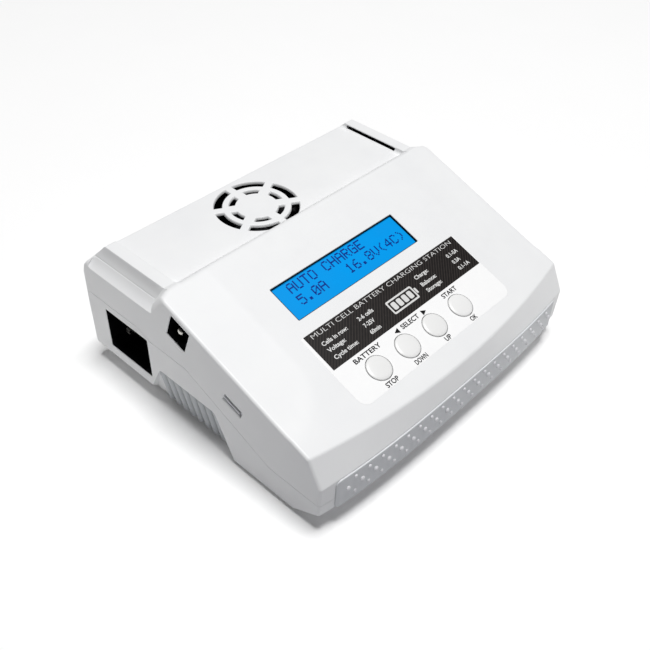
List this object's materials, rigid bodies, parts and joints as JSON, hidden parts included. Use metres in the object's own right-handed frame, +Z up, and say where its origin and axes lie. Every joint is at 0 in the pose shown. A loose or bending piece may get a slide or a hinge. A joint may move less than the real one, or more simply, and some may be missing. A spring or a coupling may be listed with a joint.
{
  "type": "balance battery charger",
  "caption": "Desktop balance charger for model batteries: wedge-shaped white case, sloped console with blue display, round keys, fan grille, inlets left, outputs right.",
  "frame": {"origin": "centre of the footprint at the level of the rubber feet's undersides", "axes": "+X to the operator's right along the case's width, +Y to the rear, +Z up; the sloped console faces the operator at -Y"},
  "size_m": [0.1406, 0.1266, 0.0581],
  "materials": {
    "shell_white": "fine moulded texture, satin",
    "key_white": "smooth moulded, semi-gloss",
    "label_film": "white printed film with a black pinstriped band",
    "clear_acrylic": "clear, polished",
    "black_tinplate": "satin black",
    "blue_display": "lit blue with dark blue characters",
    "light_guide": "milky",
    "board_green": "green solder mask",
    "black_nylon": "satin black",
    "red_nylon": "satin red",
    "chip_epoxy": "matt black",
    "nickel_plate": "nickel plated",
    "gilt_brass": "gold flashed",
    "header_ivory": "natural nylon",
    "rotor_black": "satin black",
    "ferrite": "matt grey black",
    "winding_tape": "yellow polyester tape",
    "capacitor_sleeve": "dark blue sleeve over an aluminium can",
    "enamelled_copper": "enamelled copper wire",
    "fuse_ceramic": "glazed ceramic",
    "heatsink_aluminium": "satin anodised",
    "foot_rubber": "matt",
    "zinc_steel": "zinc plated"
  },
  "bodies": {
    "charger": {"top_shell": "shell_white", "bottom_shell": "shell_white", "front_grip": "shell_white", "panel_label": "label_film", "lcd_window": "clear_acrylic", "lcd_bezel": "black_tinplate", "lcd_cell": "blue_display", "lcd_backlight": "light_guide", "lcd_board": "board_green", "lcd_header": "black_nylon", "switch_stop": "black_nylon", "switch_dec": "black_nylon", "switch_inc": "black_nylon", "switch_start": "black_nylon", "control_board": "board_green", "controller_chip": "chip_epoxy", "ac_inlet_body": "black_nylon", "ac_pin_line": "nickel_plate", "ac_pin_neutral": "nickel_plate", "ac_pin_earth": "nickel_plate", "dc_jack_body": "black_nylon", "dc_jack_pin": "gilt_brass", "temperature_port": "black_nylon", "output_socket_negative": "black_nylon", "output_socket_positive": "red_nylon", "output_contact_negative": "gilt_brass", "output_contact_positive": "gilt_brass", "balance_board": "board_green", "balance_header_2s": "header_ivory", "balance_header_3s": "header_ivory", "balance_header_4s": "header_ivory", "balance_header_5s": "header_ivory", "balance_header_6s": "header_ivory", "fan_frame": "black_nylon", "main_board": "board_green", "transformer_core": "ferrite", "transformer_winding": "winding_tape", "bulk_capacitor": "capacitor_sleeve", "output_inductor": "enamelled_copper", "mains_choke": "ferrite", "mains_fuse": "fuse_ceramic", "primary_heatsink": "heatsink_aluminium", "output_heatsink": "heatsink_aluminium", "foot_1": "foot_rubber", "foot_2": "foot_rubber", "foot_3": "foot_rubber", "foot_4": "foot_rubber", "case_screw_1": "zinc_steel", "case_screw_2": "zinc_steel", "case_screw_3": "zinc_steel", "case_screw_4": "zinc_steel"},
    "key_stop": {"button_stop": "key_white", "plunger_stop": "black_nylon"},
    "key_dec": {"button_dec": "key_white", "plunger_dec": "black_nylon"},
    "key_inc": {"button_inc": "key_white", "plunger_inc": "black_nylon"},
    "key_start": {"button_start": "key_white", "plunger_start": "black_nylon"},
    "fan_wheel": {"fan_rotor": "rotor_black"}
  },
  "joints": [
    {"name": "press_stop", "type": "slide", "parent": "charger", "child": "key_stop", "axis": [0, 0.3437, -0.9391], "range_m": [0, 0.0005], "stiffness_N_per_m": 2000, "springref_m": -0.0002},
    {"name": "press_dec", "type": "slide", "parent": "charger", "child": "key_dec", "axis": [0, 0.3437, -0.9391], "range_m": [0, 0.0005], "stiffness_N_per_m": 2000, "springref_m": -0.0002},
    {"name": "press_inc", "type": "slide", "parent": "charger", "child": "key_inc", "axis": [0, 0.3437, -0.9391], "range_m": [0, 0.0005], "stiffness_N_per_m": 2000, "springref_m": -0.0002},
    {"name": "press_start", "type": "slide", "parent": "charger", "child": "key_start", "axis": [0, 0.3437, -0.9391], "range_m": [0, 0.0005], "stiffness_N_per_m": 2000, "springref_m": -0.0002},
    {"name": "fan_spin", "type": "hinge", "parent": "charger", "child": "fan_wheel", "pos_m": [-0.00745, 0.0353, 0.0449], "axis": [0, 0, 1], "continuous": true}
  ]
}
